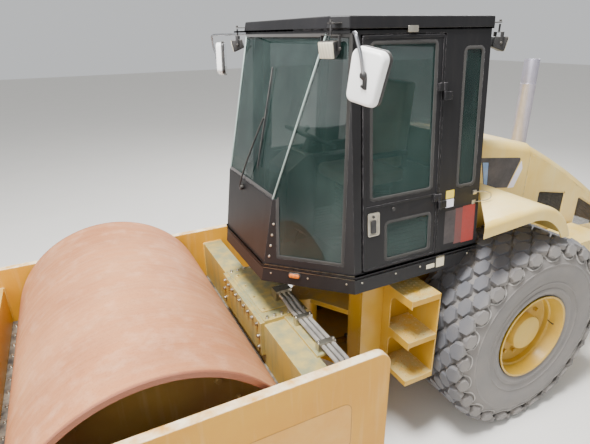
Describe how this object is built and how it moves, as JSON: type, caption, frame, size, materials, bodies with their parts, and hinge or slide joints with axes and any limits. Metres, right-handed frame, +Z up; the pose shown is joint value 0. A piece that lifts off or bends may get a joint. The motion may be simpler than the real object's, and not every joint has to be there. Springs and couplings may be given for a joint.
{
  "type": "single-drum road roller",
  "caption": "Articulated road roller: smooth vibrating drum in a front frame, enclosed cab, tilting engine hood and two lugged tyres behind.",
  "frame": {"origin": "on the ground, under the middle of the machine's length and width", "axes": "+X ahead, towards the drum, +Y to the machine's left, +Z up"},
  "size_m": [5.505, 2.3, 3.07],
  "materials": {
    "frame_paint": "satin, dusty ochre yellow",
    "hood_paint": "satin, faded pale cream yellow",
    "cab_paint": "satin charcoal with dust",
    "drum_steel": "rolled steel with light rust",
    "drum_inside": "dull olive grey paint",
    "dark_steel": "satin black paint",
    "bright_steel": "hard chrome",
    "tyre": "dusty rubber",
    "rim_paint": "satin golden yellow",
    "rubber": "matt",
    "exhaust_steel": "weathered",
    "engine_paint": "dull grey paint",
    "glass": "clear with a green tint",
    "cab_plastic": "fine grain",
    "pale_plastic": "fine grain",
    "seat_fabric": "woven"
  },
  "bodies": {
    "rear": {"rear_axle": "dark_steel", "rear_frame": "frame_paint", "frame_plates": "frame_paint", "frame_deck": "frame_paint", "frame_brackets": "frame_paint", "hitch_ears": "frame_paint", "steps": "frame_paint", "rear_bumper": "frame_paint", "side_boxes": "hood_paint", "fenders": "hood_paint", "cowl": "hood_paint", "engine": "engine_paint", "cab_floor": "cab_paint", "cab_frame": "cab_paint", "cab_roof": "cab_paint", "cab_glass": "glass", "cab_mounts": "rubber", "seat_base": "cab_plastic", "seat_cushion": "seat_fabric", "seat_back": "seat_fabric", "console": "cab_plastic", "steering_wheel": "cab_plastic", "mirrors": "pale_plastic", "work_lamps": "cab_plastic"},
    "hitch": {"hitch_yoke": "frame_paint"},
    "front": {"side_plates": "frame_paint", "front_beam": "frame_paint", "rear_beam": "frame_paint", "scrapers": "dark_steel", "drum_carriers": "frame_paint", "carrier_mounts": "rubber", "drum_hoses": "rubber", "hose_clamps": "dark_steel"},
    "drum": {"drum_shell": "drum_steel", "drum_heads": "drum_inside"},
    "wheel_left": {"tyre_left": "tyre", "rim_left": "rim_paint"},
    "wheel_right": {"tyre_right": "tyre", "rim_right": "rim_paint"},
    "door_left": {"door_left": "cab_paint", "door_glass_left": "glass"},
    "door_right": {"door_right": "cab_paint", "door_glass_right": "glass"},
    "hood": {"hood": "hood_paint", "hood_sides": "hood_paint", "hood_grilles": "dark_steel", "exhaust": "exhaust_steel"},
    "barrel_left": {"steering_barrel_left": "dark_steel"},
    "barrel_right": {"steering_barrel_right": "dark_steel"},
    "rod_left": {"steering_rod_left": "bright_steel"},
    "rod_right": {"steering_rod_right": "bright_steel"}
  },
  "joints": [
    {"name": "steer", "type": "hinge", "parent": "rear", "child": "hitch", "pos_m": [0.4175, 0, 0.785], "axis": [0, 0, 1], "range_deg": [-34, 34]},
    {"name": "oscillate", "type": "hinge", "parent": "hitch", "child": "front", "pos_m": [0.4175, 0, 0.785], "axis": [-1, 0, 0], "range_deg": [-12, 12]},
    {"name": "drum_spin", "type": "hinge", "parent": "front", "child": "drum", "pos_m": [1.7605, 0, 0.767], "axis": [0, 1, 0], "continuous": true},
    {"name": "wheel_left_spin", "type": "hinge", "parent": "rear", "child": "wheel_left", "pos_m": [-1.0325, 0.778, 0.797], "axis": [0, 1, 0], "continuous": true},
    {"name": "wheel_right_spin", "type": "hinge", "parent": "rear", "child": "wheel_right", "pos_m": [-1.0325, -0.778, 0.797], "axis": [0, 1, 0], "continuous": true},
    {"name": "door_left_swing", "type": "hinge", "parent": "rear", "child": "door_left", "pos_m": [-0.17, 0.81895, 1.47726], "axis": [0, -0.0788, 0.9969], "range_deg": [0, 90]},
    {"name": "door_right_swing", "type": "hinge", "parent": "rear", "child": "door_right", "pos_m": [-0.17, -0.81895, 1.47726], "axis": [0, -0.0788, -0.9969], "range_deg": [0, 90]},
    {"name": "hood_tilt", "type": "hinge", "parent": "rear", "child": "hood", "pos_m": [-2.6425, 0, 1.13], "axis": [0, -1, 0], "range_deg": [0, 60]},
    {"name": "barrel_left_swing", "type": "hinge", "parent": "rear", "child": "barrel_left", "pos_m": [-0.2525, 0.33, 0.69], "axis": [0, 0, 1], "range_deg": [-4, 4]},
    {"name": "barrel_right_swing", "type": "hinge", "parent": "rear", "child": "barrel_right", "pos_m": [-0.2525, -0.33, 0.69], "axis": [0, 0, 1], "range_deg": [-4, 4]},
    {"name": "rod_left_slide", "type": "slide", "parent": "barrel_left", "child": "rod_left", "axis": [0.9911, -0.1331, 0], "range_m": [-0.14, 0.14]},
    {"name": "rod_right_slide", "type": "slide", "parent": "barrel_right", "child": "rod_right", "axis": [0.9911, 0.1331, 0], "range_m": [-0.14, 0.14]}
  ],
  "couplings": [
    {"joint": "barrel_left_swing", "follows": "steer", "ratio": -0.066},
    {"joint": "barrel_right_swing", "follows": "steer", "ratio": -0.066},
    {"joint": "rod_left_slide", "follows": "steer", "m_per_rad": -0.222},
    {"joint": "rod_right_slide", "follows": "steer", "m_per_rad": 0.222}
  ]
}
